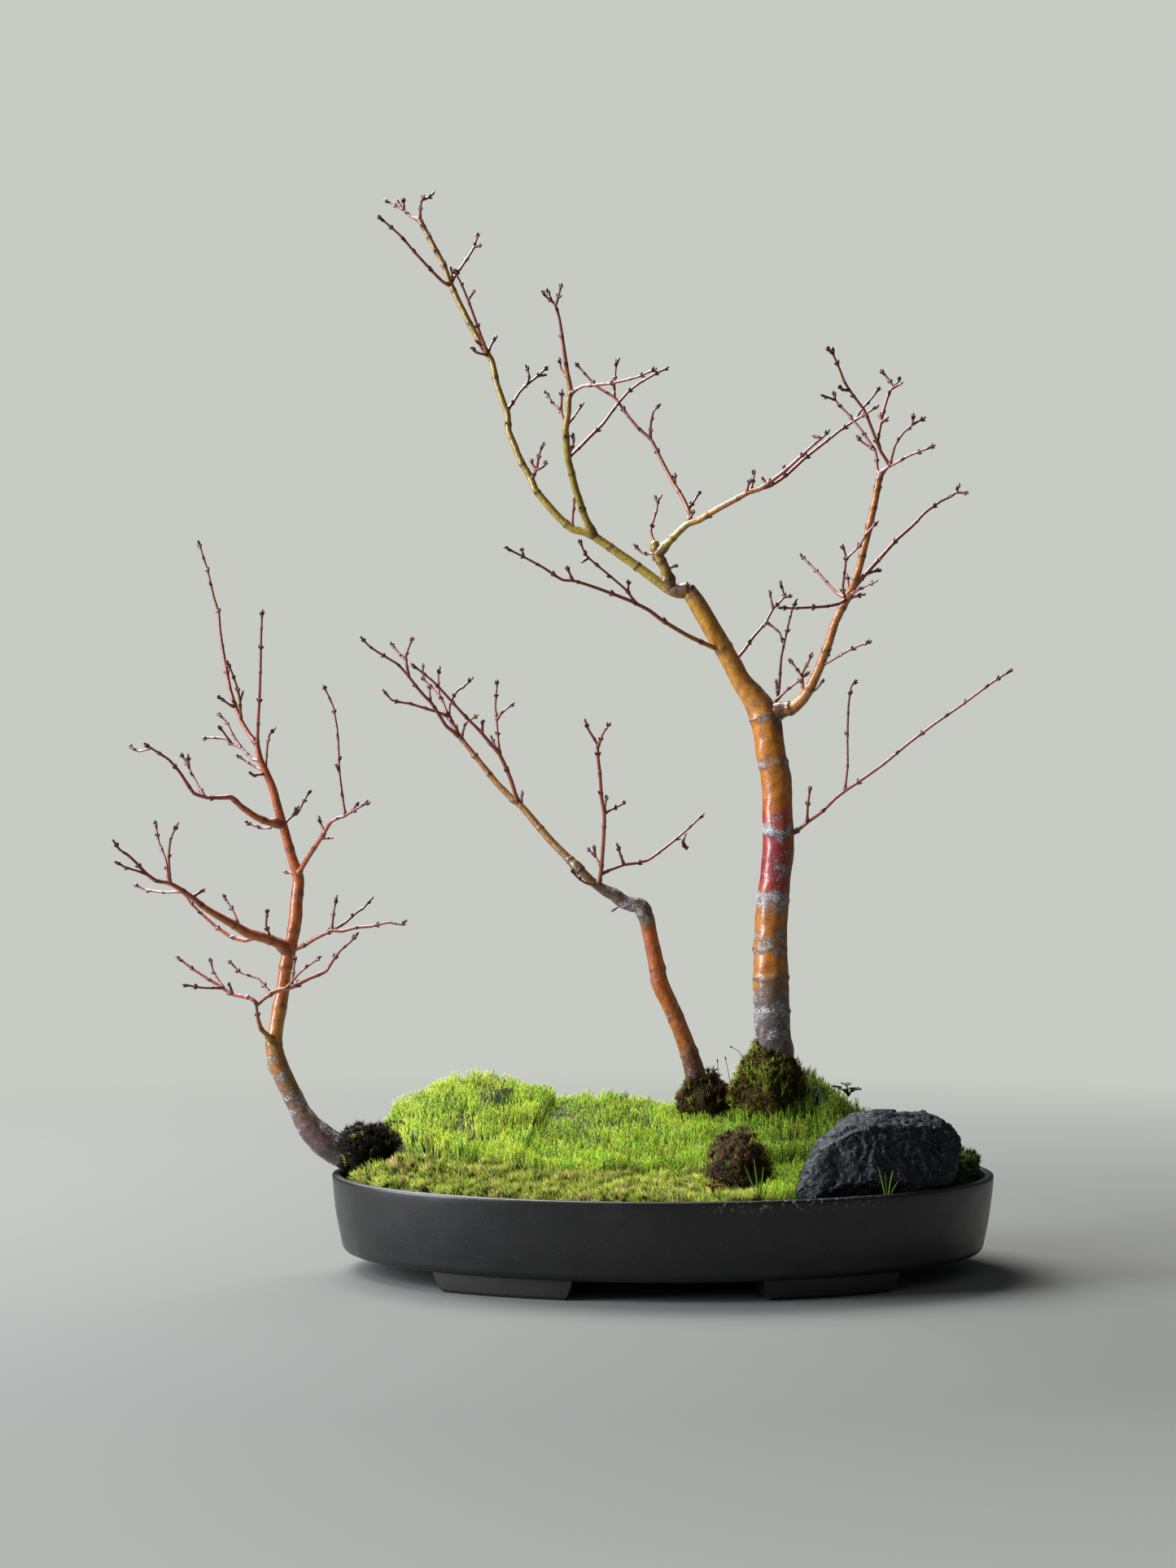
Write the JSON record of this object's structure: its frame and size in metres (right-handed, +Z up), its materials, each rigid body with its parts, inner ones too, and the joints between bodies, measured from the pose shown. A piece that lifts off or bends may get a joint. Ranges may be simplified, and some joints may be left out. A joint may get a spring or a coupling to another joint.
{
  "type": "bonsai tree in a pot",
  "caption": "Group of bare-branched young maples in a shallow dark oval tray on feet, with hilly moss cushions, root balls and a charcoal stone",
  "frame": {"origin": "on the table under the middle of the whole object's box", "axes": "+Z up, +X along the pot to the viewer's right, -Y towards the viewer"},
  "size_m": [0.4862, 0.2596, 0.5997],
  "materials": {
    "dark_clay": "matt unglazed dark brown-black, faint bluish sheen",
    "screen_plastic": "matt black net",
    "clip_wire": "dull annealed wire",
    "soil": "damp crumbly soil",
    "stone": "rough charcoal with bluish glints",
    "bark_ochre": "smooth young bark, crimson to ochre with silver lichen",
    "bark_orange": "smooth bright orange-red bark",
    "bark_salmon": "smooth salmon bark, grey at the foot",
    "root_ball": "matted roots, peat and old moss",
    "old_moss": "dry brown moss",
    "tall_moss": "dense upright bright green shoots",
    "low_moss": "low starry yellow-green shoots",
    "dark_moss": "short dark green cushion",
    "round_leaf": "small fleshy leaves",
    "seedling_red": "small folded red leaves",
    "grass": "thin grass blades",
    "dead_leaf": "dry and curled"
  },
  "bodies": {
    "root": {"pot": "dark_clay", "drain_screen_left": "screen_plastic", "drain_screen_right": "screen_plastic", "screen_clip_left": "clip_wire", "screen_clip_right": "clip_wire", "soil_bed": "soil", "stone": "stone", "maple_right": "bark_ochre", "maple_middle": "bark_orange", "maple_left": "bark_salmon", "root_ball_right": "root_ball", "root_ball_middle": "root_ball", "root_ball_left": "root_ball", "brown_mound": "old_moss", "moss_left_hill": "tall_moss", "moss_centre": "tall_moss", "moss_right_hill": "tall_moss", "moss_front_right": "tall_moss", "moss_front": "low_moss", "moss_right_end": "dark_moss", "round_leaf_plant": "round_leaf", "red_seedling": "seedling_red", "grass_by_stone": "grass", "grass_by_mound": "grass", "dried_leaf": "dead_leaf"}
  },
  "joints": []
}
